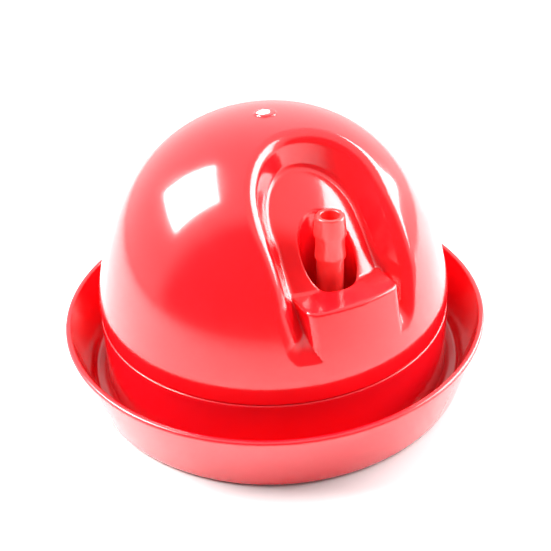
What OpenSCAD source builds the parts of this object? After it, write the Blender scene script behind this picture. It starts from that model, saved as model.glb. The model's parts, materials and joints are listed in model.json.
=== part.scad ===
// Hose-fed poultry drinker: a round water tray, a float valve on a tower in its middle,
// and a dome that drops over both. The barbed hose inlet stands up through the dome.
// Millimetres, +Z up. The origin is on the ground under the tray's centre, and the
// recess for the hose is on the dome's -Y side.

/* [Tray] */
// Radius of the tray over its rim
rim_r = 117.5; // [116:0.5:122]
// Height of the rim above the ground
rim_h = 37.7; // [35:0.1:39]
// Radius of the tray where it stands on the ground
base_r = 109.7; // [107:0.1:111]
// Thickness of the tray's walls
tray_wall = 2.4; // [2:0.1:2.8]
// Number of water ports through the back of the inner ring
port_count = 5; // [3:2:5]

/* [Dome] */
// Radius that the dome's curve has at its foot
dome_r = 101.1; // [100.5:0.1:102]
// Height of the dome's crown above the ground
dome_h = 147.2; // [144:0.1:150]
// Shape of the dome's curve: 2 is an ellipse and more is squarer
dome_power = 2.284; // [2.2:0.01:2.4]
// Thickness of the dome's wall
dome_wall = 2.4; // [2:0.1:2.6]

/* [Hose recess] */
// Radius of the recess's round back end, seen from above
recess_r = 24; // [23:0.1:25]
// How far each side of the recess opens outwards, in degrees
recess_flare = 11; // [9:0.5:12]
// Depth of the recess below the dome's crown
recess_depth = 13.9; // [12:0.1:16]
// Half the width of the block in front of the inlet
block_half_w = 24.4; // [24:0.1:25]
// Height of the block's flat top above the ground
block_h = 85.3; // [84:0.1:87]
// Radius of the well that the inlet stands in
well_r = 13.5; // [13.2:0.1:14]

/* [Inlet] */
// Distance of the inlet's axis from the tray's centre
inlet_offset = 62.3; // [61.5:0.1:63]
// Height of the inlet's tip above the ground
inlet_h = 119; // [112:0.5:124]
// Diameter over the upper barb
barb_d = 15.4; // [14.8:0.1:16]
// Diameter of the water passage
bore_d = 9; // [8:0.1:9.4]

/* [Float valve] */
// Angle that the float arm drops through from shut to fully open, in degrees
open_angle = 6; // [4:0.5:6]
// Radius of the float
float_r = 40; // [34:1:40]
// Distance of the float's centre behind the tray's centre
float_y = 8; // [4:1:10]
// Diameter of the valve's orifice
orifice_d = 2.4; // [1.6:0.1:3]

/* [Hidden] */
$fn = 96;
eps = 0.5;

// Tray
foot_recess = 0.8;
foot_w = 8;
floor_z = 3.4;
base_corner = 4;
trough_fillet = 3;
lip_h = 2.4;
lip_step = 0.7;
lip_round = 1.1;
ring_taper = 1.8;
ring_top = 46;
port_w = 14;
port_h = 10;
port_sill = 0.6;
port_spread = 34;

// Dome
foot_z = 1.4;
skirt_z = 41.6;
skirt_chamfer = 0.6;
skirt_top = 53;
dome_steps = 22;
nub_r = 5.5;
nub_h = 1;

// Tray's inner ring: the dome's edge rests on its ledge, and its neck stands inside the edge
seat_gap = 0.1;
lap_gap = 0.5;
ledge_z = skirt_z - seat_gap;
ring_r = skirt_r(0) - skirt_chamfer;
neck_r = skirt_r(dome_wall) - lap_gap;

// Recess in the dome, the block in front of it and the well through its floor
recess_y = -50.5;
recess_run = 70;
floor_rx = 91;
floor_top = dome_h - recess_depth;
floor_turn = 36.5;
floor_steps = 12;
scoop_r = 16;
scoop_end = 250;
scoop_out = 112;
block_front_r = 87.8;
block_lean = 0.25;
block_foot = 50;
block_back = -44;
well_wall = 2.1;
well_foot = 67;
well_y = -60.6;

// Inlet, from its tip down
tip_d = 13.4;
crest_h = 1.6;
barb_drop = 10;
neck_d = 13.6;
step_d = 14.7;
step_drop = 22;
stem_d = 13.2;
deck_z = 58;
deck_t = 3;
gasket_t = 1.5;
flange_r = 12;
flange_t = 2.5;
shank_r = 9;
shank_foot = 48;
nut_flat = 24;
nut_h = 7.5;
bore_end = 55;
pocket_r = 6.5;
seal_t = 1.8;
nozzle_tip = 46.5;
nozzle_tip_r = 2.5;
filter_h = 18;
filter_wall = 0.8;

// Tower that carries the inlet and the float arm's pivot
boss_r = 4.5;
boss_top = 9;
plate_t = 3;
plate_half_w = 30;
plate_r = 88;
plate_back = -44;
screw_x = 24;
screw_rows = [-76, -50];
cheek_in = 15;
cheek_t = 3;
cheek_back = -48;
cheek_front = -76;
stop_h = 3.5;
stop_gap = 0.15;

// Float arm, drawn with the valve shut and then dropped by the opening angle
pivot_y = -80;
pivot_z = 41;
pin_r = 2;
run_gap = 0.05;
hub_r = 5.5;
hub_half = 13.8;
ear_r = 6;
arm_half_w = 5.5;
arm_low = 42;
arm_top = 45.9;
keel_half_w = 1.5;
keel_low = 38;
keel_end = -52;
disc_r = 4.55;
disc_t = 3;
seat_clear = 0.1;
float_low = 17.5;
float_top = 36.5;
float_wall = 1.6;
float_round = 6;
boss_h = 2;
stud_r = 2.5;
stud_top = 57;
float_nut_flat = 8;
float_nut_h = 3.5;
washer_t = 1;

// Points of an arc about [cx, cz], counted anticlockwise in degrees.
function arc(cx, cz, r, a0, a1, n) =
    [for (i = [0:n]) [cx + r * cos(a0 + (a1 - a0) * i / n), cz + r * sin(a0 + (a1 - a0) * i / n)]];

// A point of the dome's curve, moved inwards by d. t runs from 0 at the foot to 90 at the crown.
function dome_point(t, d) = [
    (dome_r - d) * pow(cos(t), 2 / dome_power),
    foot_z + (dome_h - foot_z - d) * pow(sin(t), 2 / dome_power)
];

// The value of t at which the dome's curve has the height z.
function dome_t(z, d) = asin(pow((z - foot_z) / (dome_h - foot_z - d), dome_power / 2));

// Radius of the dome's upright skirt, moved inwards by d.
function skirt_r(d) = dome_point(dome_t(skirt_top, d), d)[0];

// A point of the recess floor's curve, moved inwards by d.
function floor_point(t, d) = [(floor_rx - d) * cos(t), (floor_top - d) * sin(t)];

// Angle of the floor curve's outward normal at t.
function floor_normal(t) = atan2(sin(t) / floor_top, cos(t) / floor_rx);

module hexagon(flat, h) {
    cylinder(d = flat / cos(30), h = h, $fn = 6);
}

// ---- Tray ----

module tray_section() {
    lip_z = rim_h - lip_h;
    lean = (rim_r - lip_step - base_r) / lip_z;
    wall_in = rim_r - lip_step - tray_wall;
    foot_r = ring_r + ring_taper;
    polygon(concat(
        [[0, foot_recess], [base_r - foot_w, foot_recess], [base_r - foot_w + 1, 0]],
        arc(base_r - base_corner, base_corner, base_corner, -90, -atan(lean), 5),
        [[rim_r - lip_step, lip_z], [rim_r, lip_z + 0.3]],
        arc(rim_r - lip_round, rim_h - lip_round, lip_round, 0, 90, 4),
        arc(wall_in + lip_round, rim_h - lip_round, lip_round, 90, 180, 4),
        arc(base_r - tray_wall - trough_fillet, floor_z + trough_fillet, trough_fillet,
            -atan(lean), -90, 4),
        arc(foot_r + trough_fillet, floor_z + trough_fillet, trough_fillet, 270, 180, 4),
        [[ring_r, ledge_z], [neck_r, ledge_z],
         [neck_r, ring_top], [neck_r - tray_wall, ring_top],
         [neck_r - tray_wall, ledge_z - tray_wall], [ring_r - tray_wall, ledge_z - tray_wall],
         [foot_r - tray_wall, floor_z], [0, floor_z]]
    ));
}

module water_ports() {
    for (i = [0:port_count - 1]) {
        rotate([0, 0, (i - (port_count - 1) / 2) * port_spread])
            translate([-port_w / 2, ring_r - 2 * tray_wall, floor_z + port_sill])
                cube([port_w, 4 * tray_wall, port_h]);
    }
}

module at_screws(z) {
    for (side = [-1, 1]) {
        for (row = screw_rows) {
            translate([side * screw_x, row, z])
                children();
        }
    }
}

module tray() {
    color("crimson")
    difference() {
        union() {
            rotate_extrude()
                tray_section();
            at_screws(floor_z - eps)
                cylinder(r = boss_r, h = boss_top - floor_z + eps);
        }
        water_ports();
        at_screws(floor_z - 1)
            cylinder(r = 1.6, h = boss_top);
    }
}

// ---- Dome ----

// The dome without its recess: an upright skirt with a chamfered edge under the curve.
module dome_solid(d, low) {
    first = dome_t(skirt_top, d);
    rotate_extrude()
        polygon(concat(
            [[0, low], [skirt_r(d) - skirt_chamfer, low], [skirt_r(d), low + skirt_chamfer]],
            [for (i = [0:dome_steps - 1]) dome_point(first + (90 - first) * i / dome_steps, d)],
            [[0, dome_h - d]]
        ));
}

// Everything below the floor of the recess: a smaller dome whose foot scoops outwards.
module recess_floor(d) {
    edge = floor_point(floor_turn, d);
    away = floor_normal(floor_turn);
    centre = edge + (scoop_r + d) * [cos(away), sin(away)];
    rotate_extrude()
        polygon(concat(
            [[0, skirt_z - eps]],
            [[scoop_out, skirt_z - eps]],
            [[scoop_out, centre[1] - (scoop_r + d) - 4]],
            arc(centre[0], centre[1], scoop_r + d, scoop_end, 180 + away, 6),
            [for (i = [1:floor_steps - 1])
                floor_point(floor_turn + (90 - floor_turn) * i / floor_steps, d)],
            [[0, floor_top - d]]
        ));
}

// The recess seen from above: a round back end and two sides that open outwards.
module recess_plan(d) {
    half = 90 - recess_flare;
    end = [(recess_r + d) * sin(half), recess_y + (recess_r + d) * cos(half)];
    out = [end[0] + recess_run * tan(recess_flare), end[1] - recess_run];
    polygon(concat(
        [for (i = [0:18]) [(recess_r + d) * sin(half - half * i / 9),
                           recess_y + (recess_r + d) * cos(half - half * i / 9)]],
        [[-out[0], out[1]], out]
    ));
}

module recess(d) {
    difference() {
        translate([0, 0, block_foot])
            linear_extrude(height = dome_h)
                recess_plan(d);
        recess_floor(d);
    }
}

// The block's front leans outwards until it runs into the dome's own surface.
module block(d) {
    rise = block_h - block_foot;
    front_r = block_front_r - d * norm([1, block_lean]);
    intersection() {
        dome_solid(d, skirt_z);
        translate([0, 0, block_foot])
            cylinder(r1 = front_r + block_lean * rise, r2 = front_r + block_lean * d, h = rise - d);
        translate([-block_half_w + d, -100, block_foot])
            cube([2 * (block_half_w - d), 100 + block_back, rise]);
    }
}

module dome_outside() {
    difference() {
        dome_solid(0, skirt_z);
        recess(0);
    }
    block(0);
}

module dome_inside() {
    difference() {
        dome_solid(dome_wall, skirt_z - 2);
        recess(dome_wall);
    }
    block(dome_wall);
}

module well(r, z) {
    translate([0, well_y, z])
        cylinder(r = r, h = dome_h - z);
}

module dome() {
    color("red") {
        difference() {
            union() {
                difference() {
                    dome_outside();
                    dome_inside();
                }
                intersection() {
                    dome_outside();
                    well(well_r + well_wall, well_foot);
                }
            }
            well(well_r, well_foot - eps);
        }
        translate([0, 0, dome_h - eps])
            cylinder(r = nub_r, h = nub_h + eps);
    }
}

// ---- Valve tower ----

module tower_plate() {
    translate([0, 0, boss_top])
        linear_extrude(height = plate_t)
            intersection() {
                circle(r = plate_r);
                translate([-plate_half_w, -100])
                    square([2 * plate_half_w, 100 + plate_back]);
            }
}

// One side plate of the tower, with an ear for the lever pin at its outer edge.
module cheek() {
    rotate([90, 0, 90])
        linear_extrude(height = cheek_t)
            union() {
                polygon([
                    [cheek_back, boss_top + plate_t - eps], [cheek_back, deck_z + eps],
                    [cheek_front, deck_z + eps], [cheek_front - 8, pivot_z + 3],
                    [cheek_front - 8, pivot_z - 4], [cheek_front + 6, boss_top + plate_t - eps]
                ]);
                translate([pivot_y, pivot_z])
                    circle(r = ear_r);
            }
}

// Bar that the float arm rests on when the valve is fully open.
module arm_stop() {
    reach = cheek_back + cheek_t - pivot_y;
    top = pivot_z + (arm_low - pivot_z) * cos(open_angle) - reach * sin(open_angle);
    translate([-cheek_in - eps, cheek_back, top - stop_h - stop_gap])
        cube([2 * (cheek_in + eps), cheek_t, stop_h]);
}

module valve_tower() {
    color("dimgray")
    difference() {
        union() {
            tower_plate();
            translate([cheek_in, 0, 0])
                cheek();
            translate([-cheek_in - cheek_t, 0, 0])
                cheek();
            translate([-cheek_in - cheek_t, cheek_front, deck_z])
                cube([2 * (cheek_in + cheek_t), cheek_back - cheek_front, deck_t]);
            arm_stop();
        }
        translate([0, -inlet_offset, deck_z - eps])
            cylinder(r = shank_r + 0.2, h = deck_t + 2 * eps);
        translate([-50, pivot_y, pivot_z])
            rotate([0, 90, 0])
                cylinder(r = pin_r + 0.02, h = 100);
        at_screws(boss_top - eps)
            cylinder(r = 2, h = plate_t + 2 * eps);
    }
}

module tower_screws() {
    color("silver")
    at_screws(boss_top + plate_t)
        difference() {
            union() {
                cylinder(r = 3.6, h = 1.6);
                translate([0, 0, 1.6])
                    cylinder(r1 = 3.6, r2 = 2.6, h = 0.9);
                translate([0, 0, -8.4])
                    cylinder(r = 1.5, h = 8.4 + eps);
            }
            for (turn = [0, 90]) {
                rotate([0, 0, turn])
                    translate([-2, -0.4, 1.1])
                        cube([4, 0.8, 2]);
            }
        }
}

// ---- Inlet and valve seat ----

module spigot() {
    flange_z = deck_z + deck_t + gasket_t;
    color("tomato")
    translate([0, -inlet_offset, 0])
        difference() {
            rotate_extrude()
                polygon([
                    [0, shank_foot], [shank_r, shank_foot], [shank_r, flange_z],
                    [flange_r, flange_z], [flange_r, flange_z + flange_t],
                    [stem_d / 2, flange_z + flange_t], [stem_d / 2, inlet_h - step_drop],
                    [step_d / 2, inlet_h - step_drop], [neck_d / 2, inlet_h - step_drop + 7],
                    [neck_d / 2, inlet_h - barb_drop], [barb_d / 2, inlet_h - barb_drop],
                    [barb_d / 2, inlet_h - barb_drop + crest_h], [tip_d / 2, inlet_h - 0.8],
                    [tip_d / 2 - 0.8, inlet_h], [0, inlet_h]
                ]);
            translate([0, 0, bore_end])
                cylinder(d = bore_d, h = inlet_h);
            translate([0, 0, shank_foot - eps])
                cylinder(r = pocket_r, h = bore_end - shank_foot + 2 * eps);
        }
}

module spigot_gasket() {
    color("black")
    translate([0, -inlet_offset, deck_z + deck_t])
        difference() {
            cylinder(r = flange_r - 0.5, h = gasket_t);
            translate([0, 0, -eps])
                cylinder(r = shank_r + 0.1, h = gasket_t + 2 * eps);
        }
}

module spigot_nut() {
    color("dimgray")
    translate([0, -inlet_offset, deck_z - nut_h])
        difference() {
            hexagon(nut_flat, nut_h);
            translate([0, 0, -eps])
                cylinder(r = shank_r + 0.02, h = nut_h + 2 * eps);
        }
}

// Strainer cup in the water passage, with slots through its wall.
module inlet_filter() {
    color("white")
    translate([0, -inlet_offset, bore_end + eps])
        difference() {
            cylinder(d = bore_d - 0.1, h = filter_h);
            translate([0, 0, filter_wall])
                cylinder(d = bore_d - 0.1 - 2 * filter_wall, h = filter_h);
            for (turn = [0:45:135]) {
                rotate([0, 0, turn])
                    translate([-bore_d, -0.4, 3])
                        cube([2 * bore_d, 0.8, filter_h - 6]);
            }
        }
}

module seat_nozzle() {
    top = bore_end + eps - seal_t;
    color("gold")
    translate([0, -inlet_offset, 0])
        difference() {
            rotate_extrude()
                polygon([
                    [0, nozzle_tip], [nozzle_tip_r, nozzle_tip], [4, shank_foot + 0.5],
                    [pocket_r - 0.03, shank_foot + 0.5], [pocket_r - 0.03, top], [0, top]
                ]);
            translate([0, 0, nozzle_tip - eps])
                cylinder(d = orifice_d, h = 10);
            translate([0, 0, shank_foot + 2])
                cylinder(d = 2 * orifice_d, h = 10);
        }
}

module seat_washer() {
    color("black")
    translate([0, -inlet_offset, bore_end + eps - seal_t])
        difference() {
            cylinder(r = pocket_r - 0.1, h = seal_t);
            translate([0, 0, -eps])
                cylinder(r = 3.6, h = seal_t + 2 * eps);
        }
}

// ---- Float arm's pivot ----

module along_pivot(x) {
    translate([x, pivot_y, pivot_z])
        rotate([0, 90, 0])
            children();
}

module lever_pin() {
    reach = cheek_in + cheek_t;
    groove = reach + 0.2;
    color("silver") {
        along_pivot(-groove)
            cylinder(r = pin_r, h = 2 * groove);
        for (side = [-1, 1]) {
            along_pivot(side * (groove + 0.5) - 0.5 - eps / 2)
                cylinder(r = pin_r - 0.5, h = 1 + eps);
            along_pivot(side * (groove + 1.9) - 0.9)
                cylinder(r = pin_r, h = 1.8);
        }
    }
}

module hub_washers() {
    color("ivory")
    for (side = [-1, 1]) {
        along_pivot(side * (hub_half + cheek_in) / 2 - 0.4)
            difference() {
                cylinder(r = hub_r - 1, h = 0.8);
                translate([0, 0, -eps])
                    cylinder(r = pin_r + 0.05, h = 2);
            }
    }
}

module pin_clips() {
    color("dimgray")
    for (side = [-1, 1]) {
        along_pivot(side * (cheek_in + cheek_t + 0.7) - 0.4)
            difference() {
                cylinder(r = 4.2, h = 0.8);
                translate([0, 0, -eps])
                    cylinder(r = pin_r - 0.45, h = 2);
                translate([0, -0.9, -eps])
                    cube([6, 1.8, 2]);
            }
    }
}

// ---- Float arm ----

// Drops its children from the shut position to the fully open one, which is the rest pose.
module dropped() {
    translate([0, pivot_y, pivot_z])
        rotate([-open_angle, 0, 0])
            translate([0, -pivot_y, -pivot_z])
                children();
}

module disc_place(z) {
    translate([0, -inlet_offset, z])
        children();
}

module float_lever() {
    disc_floor = nozzle_tip - seat_clear - disc_t;
    color("ivory")
    dropped()
        difference() {
            union() {
                translate([-arm_half_w, pivot_y, arm_low])
                    cube([2 * arm_half_w, float_y - pivot_y, arm_top - arm_low]);
                translate([0, float_y, arm_low])
                    cylinder(r = arm_half_w + 1.5, h = arm_top - arm_low);
                translate([-keel_half_w, pivot_y, keel_low])
                    cube([2 * keel_half_w, keel_end - pivot_y, arm_low - keel_low + eps]);
                disc_place(arm_low)
                    cylinder(r = disc_r + 2.5, h = arm_top - arm_low);
                along_pivot(-hub_half)
                    cylinder(r = hub_r, h = 2 * hub_half);
            }
            along_pivot(-hub_half - eps)
                cylinder(r = pin_r + run_gap, h = 2 * (hub_half + eps));
            disc_place(disc_floor)
                cylinder(r = disc_r + 0.05, h = disc_t + 2);
            translate([0, float_y, arm_low - eps])
                cylinder(r = stud_r + 0.2, h = arm_top - arm_low + 2 * eps);
        }
}

module valve_disc() {
    color("black")
    dropped()
        disc_place(nozzle_tip - seat_clear - disc_t)
            cylinder(r = disc_r, h = disc_t);
}

// Half of the float's section, from its outer edge at the seam round to its axis.
module float_half_section(height) {
    inner = float_round - float_wall;
    polygon(concat(
        [[float_r, 0]],
        arc(float_r - float_round, height - float_round, float_round, 0, 90, 6),
        [[0, height], [0, height - float_wall]],
        arc(float_r - float_round, height - float_round, inner, 90, 0, 6),
        [[float_r - float_wall, 0]]
    ));
}

module float_upper() {
    seam = (float_low + float_top) / 2;
    color("white")
    dropped()
        translate([0, float_y, seam])
            difference() {
                union() {
                    rotate_extrude()
                        float_half_section(float_top - seam);
                    translate([0, 0, float_top - seam - 5])
                        cylinder(r = 7, h = 5 + boss_h);
                }
                translate([0, 0, float_top - seam - 4])
                    cylinder(r = stud_r + 0.02, h = 8);
            }
}

module float_lower() {
    seam = (float_low + float_top) / 2;
    color("gainsboro")
    dropped()
        translate([0, float_y, seam])
            mirror([0, 0, 1])
                rotate_extrude()
                    float_half_section(seam - float_low);
}

module float_stud() {
    color("silver")
    dropped()
        translate([0, float_y, float_top - 4])
            cylinder(r = stud_r, h = stud_top - float_top + 4);
}

module float_nuts() {
    color("gold")
    dropped()
        for (z = [arm_low - float_nut_h, arm_top + washer_t]) {
            translate([0, float_y, z])
                difference() {
                    hexagon(float_nut_flat, float_nut_h);
                    translate([0, 0, -eps])
                        cylinder(r = stud_r + 0.02, h = float_nut_h + 2 * eps);
                }
        }
}

module float_washer() {
    color("silver")
    dropped()
        translate([0, float_y, arm_top])
            difference() {
                cylinder(r = 5.5, h = washer_t);
                translate([0, 0, -eps])
                    cylinder(r = stud_r + 0.2, h = washer_t + 2 * eps);
            }
}

tray();
dome();
valve_tower();
tower_screws();
spigot();
spigot_gasket();
spigot_nut();
inlet_filter();
seat_nozzle();
seat_washer();
lever_pin();
hub_washers();
pin_clips();
float_lever();
valve_disc();
float_upper();
float_lower();
float_stud();
float_nuts();
float_washer();
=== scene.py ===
import json
import math

import bmesh
import bpy
import numpy as np
from mathutils import Matrix, Vector


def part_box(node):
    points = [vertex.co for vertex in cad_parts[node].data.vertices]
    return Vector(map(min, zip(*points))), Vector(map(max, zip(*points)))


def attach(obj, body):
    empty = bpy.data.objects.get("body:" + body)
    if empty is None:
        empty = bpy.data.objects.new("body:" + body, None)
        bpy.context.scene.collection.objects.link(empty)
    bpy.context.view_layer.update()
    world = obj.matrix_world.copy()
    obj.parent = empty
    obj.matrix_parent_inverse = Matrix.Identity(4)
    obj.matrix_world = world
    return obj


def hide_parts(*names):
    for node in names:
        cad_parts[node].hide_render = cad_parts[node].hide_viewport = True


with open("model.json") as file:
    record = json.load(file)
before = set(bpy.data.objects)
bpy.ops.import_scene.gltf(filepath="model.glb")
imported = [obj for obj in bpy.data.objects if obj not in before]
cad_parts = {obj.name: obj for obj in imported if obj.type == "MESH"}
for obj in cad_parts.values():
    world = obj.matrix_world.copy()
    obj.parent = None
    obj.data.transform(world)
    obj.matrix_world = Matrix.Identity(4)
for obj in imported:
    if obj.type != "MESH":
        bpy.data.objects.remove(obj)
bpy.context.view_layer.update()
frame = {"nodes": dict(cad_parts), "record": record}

MM = 0.001

# ---- Sizes in millimetres, taken from the frame where it holds them ----


def corners(node):
    low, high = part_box(node)
    return [c / MM for c in low], [c / MM for c in high]


TRAY_HIGH = corners("tray")[1]
DOME_LOW, DOME_HIGH = corners("dome")
SPIGOT_LOW, SPIGOT_HIGH = corners("spigot")

# Dome, a curve of revolution over a short upright skirt, with a nub on top that ends in a gate scar
NUB_R = 5.5
NUB_H = 1.0
NUB_ROUND = 0.7
NUB_FILLET = 0.6
SCAR_H = 0.3
SCAR_R = 3.4
SCAR_X = -1.0
DOME_R = 101.1
DOME_H = DOME_HIGH[2] - NUB_H
DOME_FOOT = 1.4
DOME_POWER = 2.284
DOME_WALL = 2.4
SKIRT_Z = DOME_LOW[2]
SKIRT_TOP = 53.0
SKIRT_ROUND = 0.5
EDGE_ROUND = 0.9


def dome_radius(z, inset=0.0):
    """Radius of the dome's curve at a height, for its outer surface or one inset from it."""
    v = (z - DOME_FOOT) / (DOME_H - DOME_FOOT - inset)
    return (DOME_R - inset) * (1 - v ** DOME_POWER) ** (1 / DOME_POWER)


# Tray
RIM_R = TRAY_HIGH[0]
RIM_H = 37.7
BASE_R = 109.7
TRAY_WALL = 2.4
FLOOR_Z = 3.4
FOOT_RECESS = 0.8
FOOT_W = 8.0
LIP_H = 2.4
LIP_STEP = 0.7
LIP_FOOT_ROUND = 0.5
LIP_OUT_ROUND = 1.3
LIP_IN_ROUND = 1.1
BASE_CORNER = 4.0
TROUGH_FILLET = 3.0
RING_TOP = TRAY_HIGH[2]
RING_TAPER = 1.8
# Gaps under the dome's edge and round the neck, and how far the ledge reaches out past the edge
SEAT_GAP = 0.1
LAP_GAP = 0.5
LEDGE_SHOWS = 0.3
LEDGE_ROUND = 0.5
NECK_ROUND = 0.6
LEDGE_Z = SKIRT_Z - SEAT_GAP
RING_R = dome_radius(SKIRT_TOP) + LEDGE_SHOWS
NECK_R = dome_radius(SKIRT_TOP, DOME_WALL) - LAP_GAP
PORT_COUNT = 5
PORT_SPREAD = math.radians(34)
PORT_W = 14.0
PORT_LOW = 4.0
PORT_HIGH = 14.0
PORT_CUT_IN = 8.0
PORT_CUT_OUT = 4.5
BOSS_R = 4.5
BOSS_TOP = 9.0
BOSS_HOLE = 1.6
BOSS_PLACES = [(x, y) for x in (-24, 24) for y in (-76, -50)]

# Hose recess, the block across it and the well through its floor
RECESS_R = 24.0
RECESS_Y = -50.5
RECESS_FLARE = math.radians(2.5)
# Extra half width for each squared millimetre in front of FOOT_WIDENS_AT
FOOT_WIDENS_AT = -72.0
LEFT_WIDENING = 0.032
RIGHT_WIDENING = 0.008
# The walls' lean as a slope, the turn round the recess's end where it is full, and how late it comes
LEAN_FROM = -2.0
BACK_LEAN = 0.08
LEFT_LEAN, LEFT_TURN, LEFT_POWER = 0.40, math.radians(104), 3.8
RIGHT_LEAN, RIGHT_TURN, RIGHT_POWER = 0.44, math.radians(98), 2.0
LIP_R = 5.0
JOIN_R = 2.4
FLOOR_RX = 91.0
FLOOR_TOP = DOME_H - 13.9
FLOOR_TURN = math.radians(36.5)
SCOOP_R = 16.0
SCOOP_SLOPE = math.radians(20)
BLOCK_HALF_W = 24.4
BLOCK_FRONT_R = 88.4
BLOCK_LEAN = 0.285
# How far the block may stand out of the dome for each millimetre above BLOCK_PROUD_AT
BLOCK_PROUD_AT = 70.0
BLOCK_PROUD = 0.075
BLOCK_FOOT = 58.0
BLOCK_BACK = -44.0
BLOCK_BACK_ROUND = 1.0
BLOCK_H = 85.3
BLOCK_CORNER = 4.0
BLOCK_EDGE = 1.2
# Fillet round the block, which grows over BLOCK_JOIN_RUN above BLOCK_JOINS_AT
BLOCK_JOIN = 1.0
BLOCK_JOINS_AT = 67.0
BLOCK_JOIN_RUN = 8.0
WELL_Y = -60.6
WELL_R = 13.5
WELL_WALL = 2.1
WELL_FOOT = 67.0
WELL_LIP = 1.2
WELL_CUT = 10.0

# Cells of the dome's mesh, fine round the recess and coarse elsewhere
FINE_CELL = 0.7
COARSE_CELL = 1.5
FINE_HALF_W = 44.0
FINE_BACK = -16.0

# Inlet, its heights counted down from the tip
INLET_Y = (SPIGOT_LOW[1] + SPIGOT_HIGH[1]) / 2
INLET_H = SPIGOT_HIGH[2]
INLET_FOOT = SPIGOT_LOW[2]
FLANGE_R = SPIGOT_HIGH[0]
FLANGE_TOP = 65.0
FLANGE_FOOT = 62.5
BORE_R = 4.5
BORE_END = 55.0
TIP_R = 6.8
BARB_R = 7.7
BARB_LAND = 1.6
BARB_DROP = 10.0
INLET_NECK_R = 6.9
INLET_NECK_DROP = 16.0
STEP_R = 7.35
STEP_LAND = 1.5
STEP_DROP = 22.0
STEM_R = 6.6
SHANK_R = 9.0
POCKET_R = 6.5

# Float's stud, as it stands with the valve shut
PIVOT_Y = -80.0
PIVOT_Z = 41.0
OPEN_ANGLE = math.radians(6)
STUD_Y = 8.0
STUD_R = 2.5
STUD_LOW = 32.5
STUD_HIGH = 57.0
STUD_PITCH = 0.8
STUD_THREAD = 0.4


# ---- Mesh helpers ----

def link(name, mesh):
    piece = bpy.data.objects.new(name, mesh)
    bpy.context.scene.collection.objects.link(piece)
    return piece


def make_piece(name, verts, faces, normals=None, sharp=None):
    """A smooth-shaded mesh object from points in millimetres."""
    mesh = bpy.data.meshes.new(name)
    mesh.from_pydata((np.asarray(verts) * MM).tolist(), [], [list(map(int, f)) for f in faces])
    mesh.validate()
    mesh.shade_smooth()
    if normals is not None:
        mesh.normals_split_custom_set_from_vertices(normals.tolist())
    if sharp is not None:
        mesh.set_sharp_from_angle(angle=math.radians(sharp))
    return link(name, mesh)


def arc(cx, cz, r, start, end, steps):
    """Points of an arc in the (radius, height) plane, from start to end in degrees."""
    turn = np.radians(np.linspace(start, end, steps + 1))
    return [(cx + r * math.cos(t), cz + r * math.sin(t)) for t in turn]


def stretch(start, end, places=(0.05, 0.35, 0.65, 0.95)):
    """Points along the straight line between two points, given as fractions of its length."""
    return [(start[0] + (end[0] - start[0]) * t, start[1] + (end[1] - start[1]) * t) for t in places]


def round_corners(profile, steps=4):
    """The (radius, height, rounding) profile with each inner corner turned into a curve."""
    out = [profile[0][:2]]
    for before, corner, after in zip(profile, profile[1:], profile[2:]):
        c = Vector(corner[:2])
        a = Vector(before[:2]) - c
        b = Vector(after[:2]) - c
        reach = min(corner[2] / math.tan(a.angle(b) / 2), 0.48 * a.length, 0.48 * b.length)
        start = c + a.normalized() * reach
        end = c + b.normalized() * reach
        for i in range(steps + 1):
            t = i / steps
            out.append(tuple(start * (1 - t) ** 2 + c * 2 * t * (1 - t) + end * t ** 2))
    out.append(profile[-1][:2])
    return out


def lathe(profile, segments, centre=(0, 0), closed=True):
    """Points and faces of a profile turned about a vertical axis. A point on the axis is a fan."""
    angles = [2 * math.pi * i / segments for i in range(segments)]
    verts, rows = [], []
    for r, z in profile:
        if r < 1e-6:
            rows.append([len(verts)] * segments)
            verts.append((centre[0], centre[1], z))
        else:
            rows.append(list(range(len(verts), len(verts) + segments)))
            verts += [(centre[0] + r * math.cos(a), centre[1] + r * math.sin(a), z) for a in angles]
    faces = []
    for low, high in list(zip(rows, rows[1:])) + ([(rows[-1], rows[0])] if closed else []):
        for j in range(segments):
            k = (j + 1) % segments
            face = list(dict.fromkeys([low[j], low[k], high[k], high[j]]))
            if len(face) > 2:
                faces.append(face)
    return verts, faces


def merged(shapes):
    """Several (points, faces) shapes as one."""
    verts, faces = [], []
    for shape_verts, shape_faces in shapes:
        faces += [[i + len(verts) for i in face] for face in shape_faces]
        verts += shape_verts
    return verts, faces


def cuboid(low, high, turn=0.0):
    """Points and faces of a box turned about the vertical axis through the origin."""
    verts = [(x, y, z) for x in (low[0], high[0]) for y in (low[1], high[1]) for z in (low[2], high[2])]
    c, s = math.cos(turn), math.sin(turn)
    verts = [(c * x - s * y, s * x + c * y, z) for x, y, z in verts]
    faces = [(0, 1, 3, 2), (4, 6, 7, 5), (0, 4, 5, 1), (2, 3, 7, 6), (0, 2, 6, 4), (1, 5, 7, 3)]
    return verts, [list(f) for f in faces]


def combine(piece, shape, operation):
    """Adds or cuts a (points, faces) shape, and leaves no modifier or tool behind."""
    tool = make_piece("tool", *shape)
    change = piece.modifiers.new("combine", "BOOLEAN")
    change.operation = operation
    change.solver = "EXACT"
    change.object = tool
    graph = bpy.context.evaluated_depsgraph_get()
    result = bpy.data.meshes.new_from_object(piece.evaluated_get(graph))
    piece.modifiers.clear()
    piece.data = result
    bpy.data.objects.remove(tool)


# ---- Rounded solids given as signed distances ----

def round_max(a, b, r):
    """The greater of two distances, with the corner where they meet rounded to the radius r."""
    ua = np.maximum(a + r, 0)
    ub = np.maximum(b + r, 0)
    return np.minimum(-r, np.maximum(a, b)) + np.sqrt(ua * ua + ub * ub)


def round_min(a, b, r):
    return -round_max(-a, -b, r)


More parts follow.
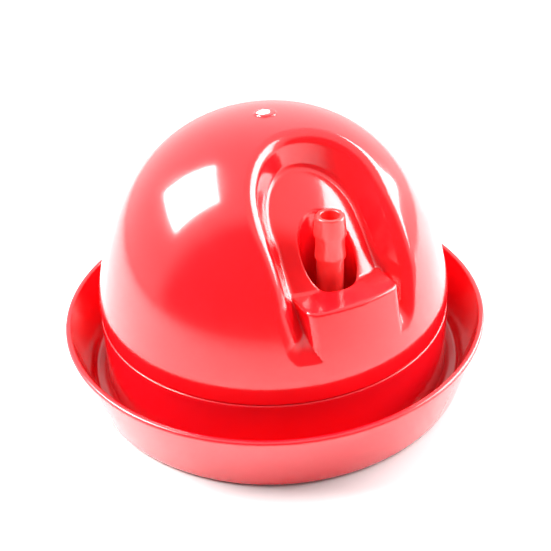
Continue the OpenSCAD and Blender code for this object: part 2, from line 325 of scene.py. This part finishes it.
def dome_distance(r, z, wide, high, foot, power):
    """About how far a point lies outside a dome of revolution."""
    u = r / wide
    v = np.maximum(z - foot, 0) / high
    g = np.maximum((u ** power + v ** power) ** (1 / power), 0.05)
    slope_r = (u / g) ** (power - 1) / wide
    slope_z = (v / g) ** (power - 1) / high
    return (g - 1) / np.sqrt(slope_r ** 2 + slope_z ** 2)


def plan_distance(x, y):
    """Distance outside the recess's outline: a round back end whose sides open towards the foot."""
    px = np.abs(x)
    py = y - RECESS_Y
    along = px * math.sin(RECESS_FLARE) - py * math.cos(RECESS_FLARE)
    across = px * math.cos(RECESS_FLARE) + py * math.sin(RECESS_FLARE)
    side = np.where(x < 0, LEFT_WIDENING, RIGHT_WIDENING)
    widening = side * np.maximum(FOOT_WIDENS_AT - y, 0) ** 2
    return np.where(along < 0, np.hypot(px, py), across) - RECESS_R - widening


def scoop_place():
    """Where the recess's floor stops falling as a dome and starts to run out to the skirt."""
    edge = (FLOOR_RX * math.cos(FLOOR_TURN), FLOOR_TOP * math.sin(FLOOR_TURN))
    away = math.atan2(math.sin(FLOOR_TURN) / FLOOR_TOP, math.cos(FLOOR_TURN) / FLOOR_RX)
    centre = (edge[0] + SCOOP_R * math.cos(away), edge[1] + SCOOP_R * math.sin(away))
    return centre[0] - SCOOP_R * math.sin(SCOOP_SLOPE), centre[1] - SCOOP_R * math.cos(SCOOP_SLOPE)


SCOOP_AT = scoop_place()


def recess_floor(r, z):
    """Distance above the recess's floor: a smaller dome whose foot scoops out to the skirt."""
    inner = dome_distance(r, z, FLOOR_RX, FLOOR_TOP, 0, 2)
    lip = (z - SCOOP_AT[1] + (r - SCOOP_AT[0]) * math.tan(SCOOP_SLOPE)) * math.cos(SCOOP_SLOPE)
    return round_min(inner, lip, SCOOP_R)


def swing(turn, full, power):
    """Goes from 0 to 1 as the turn grows to its full value, and settles there without a kink."""
    s = np.clip(turn / full, 0, 1)
    return s ** power * (1 + power * (1 - s))


def recess_wall(x, y, rise):
    """Distance outside the recess's walls, which lean back more and more away from its end."""
    turn = np.arctan2(np.abs(x), y - RECESS_Y)
    left = LEFT_LEAN * swing(turn, LEFT_TURN, LEFT_POWER)
    right = RIGHT_LEAN * swing(turn, RIGHT_TURN, RIGHT_POWER)
    lean = BACK_LEAN + np.where(x < 0, left, right)
    return (plan_distance(x, y) - np.maximum(rise, LEAN_FROM) * lean) / np.sqrt(1 + lean ** 2)


def block_distance(x, y, r, z, body):
    """Distance outside the block, whose leaning front runs into the dome's own surface."""
    front = (r - BLOCK_FRONT_R - BLOCK_LEAN * (BLOCK_H - z)) / math.hypot(1, BLOCK_LEAN)
    sides = round_max(np.abs(x) - BLOCK_HALF_W, front, BLOCK_CORNER)
    block = round_max(round_max(sides, y - BLOCK_BACK, BLOCK_BACK_ROUND), z - BLOCK_H, BLOCK_EDGE)
    proud = BLOCK_PROUD * np.maximum(z - BLOCK_PROUD_AT, 0)
    return np.maximum(block, np.maximum(body - proud, BLOCK_FOOT - z))


def dome_form(x, y, z):
    """Distance outside the dome's outer form, with its recess and block but without its well."""
    r = np.hypot(x, y)
    body = dome_distance(r, z, DOME_R, DOME_H - DOME_FOOT, DOME_FOOT, DOME_POWER)
    body = round_max(body, r - dome_radius(SKIRT_TOP), SKIRT_ROUND)
    rise = recess_floor(r, z)
    hollow = round_max(recess_wall(x, y, rise), -rise, JOIN_R)
    form = round_max(body, -hollow, LIP_R)
    join = BLOCK_JOIN * np.clip((z - BLOCK_JOINS_AT) / BLOCK_JOIN_RUN, 0.01, 1)
    return round_min(form, block_distance(x, y, r, z, body), join)


def dome_shell(x, y, z):
    """Distance outside the finished dome."""
    r = np.hypot(x, y)
    form = dome_form(x, y, z)
    shell = round_max(np.maximum(form, -(form + DOME_WALL)), SKIRT_Z - z, EDGE_ROUND)
    nub = np.maximum(round_max(r - NUB_R, z - DOME_HIGH[2] + SCAR_H, NUB_ROUND), DOME_H - DOME_WALL / 2 - z)
    shell = round_min(shell, nub, NUB_FILLET)
    well = np.hypot(x, y - WELL_Y)
    tube = np.maximum(np.maximum(well - WELL_R - WELL_WALL, WELL_FOOT - z), form)
    shell = np.minimum(shell, tube)
    return round_max(shell, np.minimum(WELL_R - well, z - WELL_FOOT + WELL_CUT), WELL_LIP)


def grid_axis(low, high, fine_low, fine_high, fine, coarse):
    """Grid lines from low to high, fine apart in the middle stretch and coarse elsewhere."""
    left = np.arange(fine_low, low - coarse, -coarse)[::-1]
    right = np.arange(fine_high, high + coarse, coarse)
    return np.concatenate([left, np.arange(fine_low + fine, fine_high, fine), right])


def project(field, points, passes, reach=0.8):
    """The points moved onto the field's zero surface, and the surface's normals there."""
    step = 0.01
    for _ in range(passes):
        value = field(*points.T)
        slope = np.stack([
            (field(*(points + step * e).T) - field(*(points - step * e).T)) / (2 * step)
            for e in np.eye(3)
        ], axis=1)
        size = np.maximum(np.linalg.norm(slope, axis=1), 1e-6)
        move = np.clip(value / size, -reach, reach)
        points = points - slope / size[:, None] * move[:, None]
    return points, slope / size[:, None]


def surface_net(field, axes):
    """Points, quads and normals of the field's zero surface on a grid."""
    grid = np.meshgrid(*axes, indexing="ij")
    value = field(*grid)
    inside = value < 0
    corners = [(i, j, k) for i in (0, 1) for j in (0, 1) for k in (0, 1)]
    shape = tuple(n - 1 for n in value.shape)

    def at(array, c):
        return array[c[0]:c[0] + shape[0], c[1]:c[1] + shape[1], c[2]:c[2] + shape[2]]

    count = sum(at(inside, c).astype(np.int8) for c in corners)
    cells = np.argwhere((count > 0) & (count < 8))
    number = np.full(shape, -1)
    number[tuple(cells.T)] = np.arange(len(cells))
    total = np.zeros((len(cells), 3))
    hits = np.zeros(len(cells))
    for c in corners:
        for axis in range(3):
            if c[axis]:
                continue
            d = tuple(v + (n == axis) for n, v in enumerate(c))
            one = tuple((cells + c).T)
            two = tuple((cells + d).T)
            a, b = value[one], value[two]
            cross = (a < 0) != (b < 0)
            t = np.where(cross, a / np.where(cross, a - b, 1), 0)
            place = np.stack([g[one] + t * (g[two] - g[one]) for g in grid], axis=1)
            total += np.where(cross[:, None], place, 0)
            hits += cross
    points = total / hits[:, None]
    quads = []
    for axis in range(3):
        u, v = (axis + 1) % 3, (axis + 2) % 3
        low = [slice(None)] * 3
        high = [slice(None)] * 3
        low[axis], high[axis] = slice(None, -1), slice(1, None)
        change = inside[tuple(low)] != inside[tuple(high)]
        edges = np.argwhere(change)
        edges = edges[(edges[:, u] > 0) & (edges[:, v] > 0)]
        edges = edges[(edges[:, u] < shape[u]) & (edges[:, v] < shape[v])]
        ring = []
        for du, dv in ((1, 1), (0, 1), (0, 0), (1, 0)):
            cell = edges.copy()
            cell[:, u] -= du
            cell[:, v] -= dv
            ring.append(number[tuple(cell.T)])
        quad = np.stack(ring, axis=1)
        leaving = inside[tuple(edges.T)]
        quads.append(np.where(leaving[:, None], quad, quad[:, ::-1]))
    quads = np.concatenate(quads)
    points, normals = project(field, points, 3)
    ends = np.concatenate([quads, np.roll(quads, 1, axis=1)]).ravel()
    others = np.concatenate([np.roll(quads, 1, axis=1), quads]).ravel()
    degree = np.bincount(ends, minlength=len(points))
    for _ in range(3):
        mean = np.stack([np.bincount(ends, points[others, n], len(points)) / degree
                         for n in range(3)], axis=1)
        shift = mean - points
        shift -= normals * np.sum(shift * normals, axis=1)[:, None]
        points, normals = project(field, points + 0.5 * shift, 2, 0.3)
    return points, quads, normals


# ---- Pieces ----

def make_dome():
    side = DOME_R + 2
    low, high = SKIRT_Z - 1, DOME_HIGH[2] + 1
    axes = (
        grid_axis(-side, side, -FINE_HALF_W, FINE_HALF_W, FINE_CELL, COARSE_CELL),
        grid_axis(-side, side, -side, FINE_BACK, FINE_CELL, COARSE_CELL),
        grid_axis(low, high, low, high, FINE_CELL, FINE_CELL),
    )
    points, quads, normals = surface_net(dome_shell, axes)
    return make_piece("dome_cover_shell", points, quads, normals)


def make_scar():
    """The pale, torn stub that the moulding's gate leaves on the nub; its pale colour is partly the gate's
    stress whitening and partly a painted highlight.
    """
    around = 48
    turns = [2 * math.pi * i / around for i in range(around)]
    edge = [SCAR_R * (1 + 0.10 * math.sin(2 * a + 1) + 0.06 * math.sin(5 * a) + 0.03 * math.sin(11 * a))
            for a in turns]
    low = DOME_HIGH[2] - 2 * SCAR_H
    rings = ((1.0, low), (1.0, low + 1.2 * SCAR_H), (0.9, low + 1.7 * SCAR_H), (0.6, DOME_HIGH[2]))
    verts = [
        (SCAR_X + share * r * math.cos(a), share * r * math.sin(a), z)
        for share, z in rings for r, a in zip(edge, turns)
    ]
    faces = [
        (row * around + j, row * around + (j + 1) % around,
         (row + 1) * around + (j + 1) % around, (row + 1) * around + j)
        for row in range(len(rings) - 1) for j in range(around)
    ]
    faces += [tuple(range((len(rings) - 1) * around, len(rings) * around)), tuple(range(around))[::-1]]
    return make_piece("gate_scar", verts, faces, sharp=60)


def ring_radius(z, top_r):
    """Radius of the tapering inner ring at a height, from its radius at the ledge."""
    return top_r + RING_TAPER * (LEDGE_Z - z) / (LEDGE_Z - FLOOR_Z)


def tray_profile():
    """The tray's outline, from the middle of its underside round the rim and the ring to its floor."""
    lip_z = RIM_H - LIP_H
    wall_top = RIM_R - LIP_STEP
    lean = math.degrees(math.atan((wall_top - BASE_R) / lip_z))
    inner = wall_top - TRAY_WALL
    foot_in = BASE_R - FOOT_W
    foot = [(0, FOOT_RECESS), (foot_in - 1, FOOT_RECESS)]
    foot += arc(foot_in + FOOT_RECESS, FOOT_RECESS, FOOT_RECESS, 180, 270, 3)
    foot += arc(BASE_R - BASE_CORNER, BASE_CORNER, BASE_CORNER, -90, -lean, 8)
    lip = [(wall_top - 0.25, lip_z)]
    lip += arc(RIM_R - LIP_FOOT_ROUND, lip_z + LIP_FOOT_ROUND, LIP_FOOT_ROUND, -90, 0, 3)
    lip += arc(RIM_R - LIP_OUT_ROUND, RIM_H - LIP_OUT_ROUND, LIP_OUT_ROUND, 0, 90, 6)
    lip += arc(inner + LIP_IN_ROUND, RIM_H - LIP_IN_ROUND, LIP_IN_ROUND, 90, 180 - lean / 2, 6)
    trough_out = arc(BASE_R - TRAY_WALL - TROUGH_FILLET, FLOOR_Z + TROUGH_FILLET, TROUGH_FILLET,
                     -lean, -90, 7)
    trough_in = arc(ring_radius(FLOOR_Z, RING_R) + TROUGH_FILLET, FLOOR_Z + TROUGH_FILLET,
                    TROUGH_FILLET, 270, 180, 7)
    ledge = arc(RING_R - LEDGE_ROUND, LEDGE_Z - LEDGE_ROUND, LEDGE_ROUND, 0, 90, 3)
    ledge += [(NECK_R + 0.4, LEDGE_Z), (NECK_R, LEDGE_Z + 0.4)]
    neck_in = NECK_R - TRAY_WALL
    neck = arc(NECK_R - NECK_ROUND, RING_TOP - NECK_ROUND, NECK_ROUND, 0, 90, 3)
    neck += arc(neck_in + NECK_ROUND, RING_TOP - NECK_ROUND, NECK_ROUND, 90, 180, 3)
    shelf = LEDGE_Z - TRAY_WALL
    under = [(neck_in, shelf + 0.5), (neck_in + 0.5, shelf), (RING_R - TRAY_WALL - 0.5, shelf)]
    ring_in = (ring_radius(shelf, RING_R - TRAY_WALL), shelf - 0.5)
    ring_foot = (ring_radius(FLOOR_Z + 1.5, RING_R - TRAY_WALL), FLOOR_Z + 1.5)
    return (
        foot + stretch(foot[-1], lip[0]) + lip + stretch(lip[-1], trough_out[0]) + trough_out
        + trough_in + stretch(trough_in[-1], ledge[0]) + ledge + neck + under
        + [ring_in] + stretch(ring_in, ring_foot, (0.3, 0.6, 0.85)) + [ring_foot]
        + [(ring_foot[0] - 1.5, FLOOR_Z), (0, FLOOR_Z)]
    )


def make_tray():
    """The tray's turned form, its ports cut through the back of the ring and its four bosses."""
    verts, faces = lathe(tray_profile(), 288, closed=False)
    tray = make_piece("tray_trough", verts, faces)
    ports = [
        cuboid((-PORT_W / 2, RING_R - PORT_CUT_IN, PORT_LOW), (PORT_W / 2, RING_R + PORT_CUT_OUT, PORT_HIGH),
               (i - (PORT_COUNT - 1) / 2) * PORT_SPREAD)
        for i in range(PORT_COUNT)
    ]
    combine(tray, merged(ports), "DIFFERENCE")
    boss = round_corners([
        (BOSS_HOLE, FLOOR_Z - 1, 0), (BOSS_HOLE, BOSS_TOP, 0.3), (BOSS_R, BOSS_TOP, 0.5),
        (BOSS_R, FLOOR_Z + 0.5, 0.4), (BOSS_R + 0.8, FLOOR_Z - 0.2, 0.2), (BOSS_R, FLOOR_Z - 1, 0),
    ])
    combine(tray, merged([lathe(boss, 40, place) for place in BOSS_PLACES]), "UNION")
    tray.data.shade_smooth()
    tray.data.set_sharp_from_angle(angle=math.radians(40))
    return tray


def make_spigot():
    """The hose inlet, from the inside of its bore over the tip and the two barbs to its pocket."""
    top, barb, step = INLET_H, INLET_H - BARB_DROP, INLET_H - STEP_DROP
    profile = round_corners([
        (BORE_R, BORE_END + 1, 0), (BORE_R, top - 0.3, 0.15), (BORE_R + 0.3, top, 0.2),
        (TIP_R - 0.4, top, 0.3), (TIP_R, top - 0.6, 0.3),
        (BARB_R, barb + BARB_LAND, 1.0), (BARB_R, barb + 0.1, 0.15), (INLET_NECK_R, barb - 0.1, 0.2),
        (INLET_NECK_R, top - INLET_NECK_DROP, 1.5),
        (STEP_R, step + STEP_LAND, 1.2), (STEP_R, step + 0.1, 0.15), (STEM_R, step - 0.1, 0.2),
        (STEM_R, FLANGE_TOP, 1.2), (FLANGE_R, FLANGE_TOP, 0.5), (FLANGE_R, FLANGE_FOOT, 0.4),
        (SHANK_R, FLANGE_FOOT, 0.3), (SHANK_R, INLET_FOOT, 0.6), (POCKET_R, INLET_FOOT, 0.4),
        (POCKET_R, BORE_END, 0.3), (BORE_R, BORE_END, 0),
    ])
    return make_piece("hose_barb_inlet", *lathe(profile, 96, (0, INLET_Y)), sharp=45)


def softened(name, width=0.35):
    """A copy of a CAD node with its sharp edges rounded, which stands for that node."""
    form = bmesh.new()
    form.from_mesh(frame["nodes"][name].data)
    bmesh.ops.remove_doubles(form, verts=form.verts, dist=1e-6)
    bmesh.ops.dissolve_limit(form, angle_limit=math.radians(1), verts=form.verts, edges=form.edges)
    form.verts.index_update()
    verts = [v.co / MM for v in form.verts]
    faces = [[v.index for v in face.verts] for face in form.faces]
    form.free()
    piece = make_piece(name + "_finished", verts, faces)
    edges = piece.modifiers.new("edges", "BEVEL")
    edges.width = width * MM
    edges.segments = 2
    edges.limit_method = "ANGLE"
    edges.angle_limit = math.radians(40)
    edges.harden_normals = True
    return piece


def make_stud():
    """The float's stud with its screw thread, dropped with the float arm to the open stop."""
    around, per_turn = 36, 8
    rows = int((STUD_HIGH - STUD_LOW) / STUD_PITCH * per_turn)
    side = [(STUD_R, STUD_LOW + (STUD_HIGH - STUD_LOW) * i / rows) for i in range(rows + 1)]
    verts, faces = lathe([(0, STUD_LOW)] + side + [(0, STUD_HIGH)], around, closed=False)
    points = np.array(verts)
    z = points[:, 2]
    turn = np.arctan2(points[:, 1], points[:, 0]) / (2 * math.pi)
    wave = np.abs((z / STUD_PITCH - turn) % 1 - 0.5) * 2
    root = STUD_R - STUD_THREAD
    r = np.minimum(STUD_R - STUD_THREAD * wave, root + np.minimum(z - STUD_LOW, STUD_HIGH - z))
    on_axis = np.hypot(points[:, 0], points[:, 1]) < 1e-6
    points[:, :2] *= np.where(on_axis, 1, r / STUD_R)[:, None]
    y, z = points[:, 1] + STUD_Y - PIVOT_Y, z - PIVOT_Z
    c, s = math.cos(OPEN_ANGLE), math.sin(OPEN_ANGLE)
    points[:, 1] = PIVOT_Y + c * y + s * z
    points[:, 2] = PIVOT_Z - s * y + c * z
    return make_piece("float_stud_threaded", points, faces)


# ---- Materials ----

def shader(name, colour, roughness, **sockets):
    material = bpy.data.materials.new(name)
    material.use_nodes = True
    bsdf = material.node_tree.nodes["Principled BSDF"]
    bsdf.inputs["Base Color"].default_value = (*colour, 1)
    bsdf.inputs["Roughness"].default_value = roughness
    for socket, value in sockets.items():
        bsdf.inputs[socket.replace("_", " ")].default_value = value
    return material


def noise(material, scale, detail=3.0, pull=(1, 1, 1)):
    """A 0 to 1 noise over the piece, its features pulled out along an axis by a small scale there."""
    nodes, links = material.node_tree.nodes, material.node_tree.links
    coords = nodes.new("ShaderNodeTexCoord")
    mapping = nodes.new("ShaderNodeMapping")
    mapping.inputs["Scale"].default_value = pull
    texture = nodes.new("ShaderNodeTexNoise")
    texture.inputs["Scale"].default_value = scale
    texture.inputs["Detail"].default_value = detail
    links.new(coords.outputs["Object"], mapping.inputs["Vector"])
    links.new(mapping.outputs["Vector"], texture.inputs["Vector"])
    return texture.outputs["Fac"]


def drive(material, value, socket, low, high):
    """Drives a shader socket from a noise, between low and high."""
    nodes, links = material.node_tree.nodes, material.node_tree.links
    span = nodes.new("ShaderNodeMapRange")
    span.inputs["From Min"].default_value = 0.3
    span.inputs["From Max"].default_value = 0.7
    span.inputs["To Min"].default_value = low
    span.inputs["To Max"].default_value = high
    links.new(value, span.inputs["Value"])
    links.new(span.outputs["Result"], nodes["Principled BSDF"].inputs[socket])


def tint(material, value, dark, light):
    """Mixes the base colour from a noise, between two colours."""
    nodes, links = material.node_tree.nodes, material.node_tree.links
    ramp = nodes.new("ShaderNodeValToRGB")
    ramp.color_ramp.elements[0].position = 0.3
    ramp.color_ramp.elements[0].color = (*dark, 1)
    ramp.color_ramp.elements[1].position = 0.7
    ramp.color_ramp.elements[1].color = (*light, 1)
    links.new(value, ramp.inputs["Fac"])
    links.new(ramp.outputs["Color"], nodes["Principled BSDF"].inputs["Base Color"])


def bump(material, value, strength, distance):
    nodes, links = material.node_tree.nodes, material.node_tree.links
    node = nodes.new("ShaderNodeBump")
    node.inputs["Strength"].default_value = strength
    node.inputs["Distance"].default_value = distance
    links.new(value, node.inputs["Height"])
    links.new(node.outputs["Normal"], nodes["Principled BSDF"].inputs["Normal"])


def glossy_red(name, dark, light, glow=0.25, dull=0.10):
    """Polished injection-moulded plastic: slow colour drift, faint flow waves, and light inside."""
    material = shader(name, light, dull, IOR=1.5, Subsurface_Weight=glow,
                      Subsurface_Radius=(1.0, 0.08, 0.06), Subsurface_Scale=0.004,
                      Coat_Weight=0.8, Coat_Roughness=dull * 0.5, Coat_IOR=1.5)
    tint(material, noise(material, 18, 2), dark, light)
    drive(material, noise(material, 70, 4), "Roughness", dull, dull + 0.05)
    bump(material, noise(material, 30, 2), 0.06, 0.0005)
    return material


def satin_plastic(name, dark, light, roughness=0.42):
    """Moulded plastic from a spark-finished mould: fine grain, with slight flow streaks."""
    material = shader(name, light, roughness, IOR=1.46)
    tint(material, noise(material, 45, 4, (1, 1, 0.3)), dark, light)
    drive(material, noise(material, 160, 3), "Roughness", roughness - 0.08, roughness + 0.08)
    bump(material, noise(material, 1400, 2), 0.25, 0.00006)
    return material


def rubber(name, dark, light):
    material = shader(name, light, 0.75, IOR=1.52)
    tint(material, noise(material, 260, 5), dark, light)
    drive(material, noise(material, 120, 3), "Roughness", 0.62, 0.85)
    bump(material, noise(material, 900, 4), 0.4, 0.0001)
    return material


def metal(name, dark, light, roughness, pull=(1, 1, 1)):
    """Metal with tool or rolling marks that run along the axis with the small pull."""
    material = shader(name, light, roughness, Metallic=1.0)
    tint(material, noise(material, 90, 4), dark, light)
    drive(material, noise(material, 700, 4, pull), "Roughness", roughness - 0.07, roughness + 0.1)
    bump(material, noise(material, 900, 3, pull), 0.2, 0.00005)
    return material


def paint(piece, material):
    piece.data.materials.clear()
    piece.data.materials.append(material)


# ---- Camera and light ----

CAMERA_PLACE = Vector((-158.8, -324.7, 288.7))
CAMERA_FORWARD = Vector((0.3700, 0.7486, -0.5503))
CAMERA_RIGHT = Vector((0.8846, -0.4648, -0.0374))
LAMP_DISTANCE = 1.2
LAMP_AIM = Vector((0, 0, 0.07))


def make_camera():
    data = bpy.data.cameras.new("camera")
    data.lens = 50
    data.sensor_width = 36
    data.clip_start = 0.01
    camera = bpy.data.objects.new("camera", data)
    bpy.context.scene.collection.objects.link(camera)
    forward = CAMERA_FORWARD.normalized()
    right = (CAMERA_RIGHT - forward * CAMERA_RIGHT.dot(forward)).normalized()
    turn = Matrix((right, right.cross(forward), -forward)).transposed()
    camera.matrix_world = Matrix.Translation(CAMERA_PLACE * MM) @ turn.to_4x4()
    bpy.context.scene.camera = camera


def make_floor():
    half = 3.0
    corners = [(-half, -half, 0), (half, -half, 0), (half, half, 0), (-half, half, 0)]
    mesh = bpy.data.meshes.new("floor")
    mesh.from_pydata(corners, [], [(0, 1, 2, 3)])
    floor = link("floor", mesh)
    paint(floor, shader("floor_white", (0.72, 0.72, 0.72), 0.6))


def direction(azimuth, elevation):
    """Unit vector from a compass angle, counted from +Y towards +X, and a height angle."""
    a, e = math.radians(azimuth), math.radians(elevation)
    return Vector((math.sin(a) * math.cos(e), math.cos(a) * math.cos(e), math.sin(e)))


def make_softbox(name, azimuth, elevation, size, radiance):
    """A soft rectangular lamp aimed at the object."""
    data = bpy.data.lights.new(name, "AREA")
    data.shape = "RECTANGLE"
    data.size, data.size_y = size
    data.energy = math.pi * size[0] * size[1] * radiance
    lamp = bpy.data.objects.new(name, data)
    bpy.context.scene.collection.objects.link(lamp)
    away = direction(azimuth, elevation)
    lamp.location = away * LAMP_DISTANCE + LAMP_AIM
    lamp.rotation_euler = (-away).to_track_quat("-Z", "Y").to_euler()


def make_room(bright=1.1, dim=0.15):
    """Soft light from all round, except for a dim part of the room at the front."""
    world = bpy.data.worlds.new("studio")
    bpy.context.scene.world = world
    world.use_nodes = True
    nodes, links = world.node_tree.nodes, world.node_tree.links
    coords = nodes.new("ShaderNodeTexCoord")
    facing = nodes.new("ShaderNodeVectorMath")
    facing.operation = "DOT_PRODUCT"
    facing.inputs[1].default_value = direction(-149, -11)
    fade = nodes.new("ShaderNodeMapRange")
    fade.interpolation_type = "SMOOTHSTEP"
    fade.inputs["From Min"].default_value = 0.2
    fade.inputs["From Max"].default_value = 0.45
    fade.inputs["To Min"].default_value = bright
    fade.inputs["To Max"].default_value = dim
    links.new(coords.outputs["Generated"], facing.inputs[0])
    links.new(facing.outputs["Value"], fade.inputs["Value"])
    links.new(fade.outputs["Result"], nodes["Background"].inputs["Strength"])
    nodes["Background"].inputs["Color"].default_value = (1, 1, 1, 1)
    bpy.context.scene.view_settings.view_transform = "Standard"


# ---- The object ----

DOME_RED = glossy_red("dome_red_plastic", (0.90, 0.004, 0.010), (0.95, 0.006, 0.012), 0.45, 0.16)
TRAY_RED = glossy_red("tray_red_plastic", (0.72, 0.004, 0.012), (0.77, 0.006, 0.015), 0.45, 0.2)
INLET_RED = glossy_red("inlet_red_plastic", (0.80, 0.030, 0.030), (0.86, 0.038, 0.036), 0.4, 0.32)
BLACK = satin_plastic("black_plastic", (0.020, 0.021, 0.024), (0.034, 0.035, 0.038))
NUT_BLACK = satin_plastic("nut_black_plastic", (0.026, 0.027, 0.030), (0.042, 0.043, 0.047), 0.35)
FILTER_WHITE = satin_plastic("filter_white_plastic", (0.70, 0.70, 0.66), (0.80, 0.80, 0.77))
NYLON = satin_plastic("natural_nylon", (0.66, 0.62, 0.50), (0.74, 0.71, 0.60), 0.38)
ACETAL = satin_plastic("natural_acetal", (0.68, 0.66, 0.58), (0.76, 0.74, 0.67), 0.34)
FLOAT_WHITE = satin_plastic("float_white_plastic", (0.72, 0.72, 0.70), (0.80, 0.80, 0.79), 0.30)
RUBBER = rubber("black_rubber", (0.012, 0.012, 0.012), (0.024, 0.024, 0.025))
STEEL = metal("stainless_steel", (0.50, 0.49, 0.47), (0.62, 0.61, 0.59), 0.28)
TURNED_STEEL = metal("turned_steel", (0.48, 0.47, 0.46), (0.60, 0.59, 0.58), 0.24, (0.1, 1, 1))
SPRING_STEEL = metal("spring_steel", (0.12, 0.12, 0.13), (0.20, 0.20, 0.21), 0.36)
BRASS = metal("turned_brass", (0.60, 0.40, 0.16), (0.74, 0.53, 0.24), 0.25)

LOOKS = {
    "tray": TRAY_RED, "dome": DOME_RED, "spigot": INLET_RED,
    "valve_tower": BLACK, "spigot_nut": NUT_BLACK, "inlet_filter": FILTER_WHITE,
    "tower_screws": STEEL, "float_washer": STEEL, "lever_pin": TURNED_STEEL,
    "float_stud": TURNED_STEEL, "pin_clips": SPRING_STEEL,
    "seat_nozzle": BRASS, "float_nuts": BRASS,
    "spigot_gasket": RUBBER, "seat_washer": RUBBER, "valve_disc": RUBBER,
    "hub_washers": NYLON, "float_lever": ACETAL,
    "float_upper": FLOAT_WHITE, "float_lower": FLOAT_WHITE,
}

SOFTNESS = {"pin_clips": 0.15, "inlet_filter": 0.12, "tower_screws": 0.2, "hub_washers": 0.15,
            "seat_nozzle": 0.2, "float_washer": 0.2, "valve_tower": 0.5, "float_lever": 0.4}
MAKERS = {"tray": make_tray, "dome": make_dome, "spigot": make_spigot, "float_stud": make_stud}
RECORD = frame["record"]
BODY_OF = {node: body for body, nodes in RECORD["behaviour"]["bodies"].items() for node in nodes}

make_room()
make_camera()
make_floor()
make_softbox("softbox_left", -58, 45, (0.64, 0.70), 24)
make_softbox("softbox_right", 101, 30, (1.0, 0.85), 11)

for node, material in LOOKS.items():
    piece = MAKERS[node]() if node in MAKERS else softened(node, SOFTNESS.get(node, 0.3))
    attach(piece, BODY_OF[node])
    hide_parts(node)
    paint(piece, material)

scar = make_scar()
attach(scar, "dome_cover")
# Pale colour of the gate stub: partly whitened plastic, partly a painted highlight on the nub
paint(scar, satin_plastic("whitened_red_plastic_with_painted_highlight", (0.86, 0.45, 0.46), (0.92, 0.72, 0.72), 0.5))
